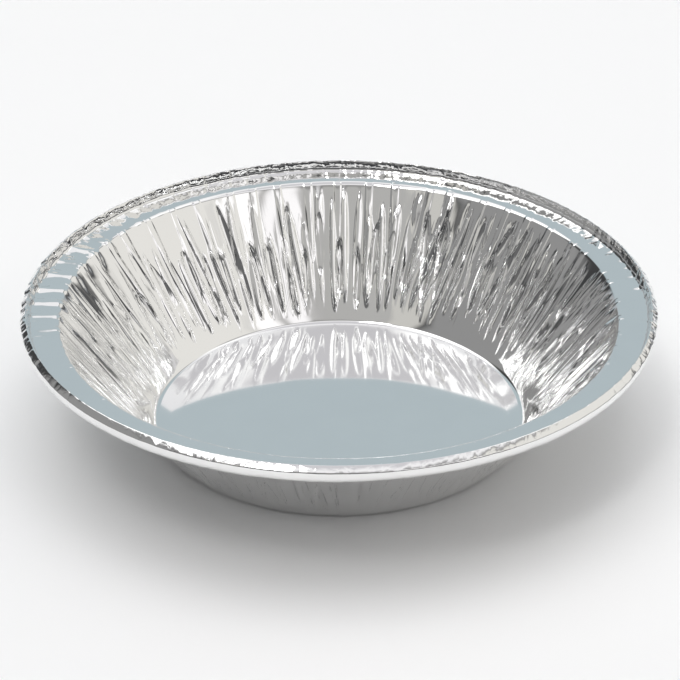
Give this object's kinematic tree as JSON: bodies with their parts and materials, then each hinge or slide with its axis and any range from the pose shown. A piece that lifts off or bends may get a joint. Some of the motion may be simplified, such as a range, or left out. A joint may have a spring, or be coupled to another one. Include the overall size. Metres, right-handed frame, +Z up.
{
  "type": "foil baking cup",
  "caption": "Round flared foil baking cup with a flat base, a wall gathered into folds, a narrow flange and a crimped, rolled edge.",
  "frame": {"origin": "centre of the base, on the surface that the cup stands on", "axes": "+Z up along the cup's axis, out of its mouth; X and Y lie in the base"},
  "size_m": [0.125, 0.125, 0.027],
  "materials": {
    "foil": "bright rolled foil, mirror-like, with fine rolling grain"
  },
  "bodies": {
    "root": {"foil_cup": "foil"}
  },
  "joints": []
}
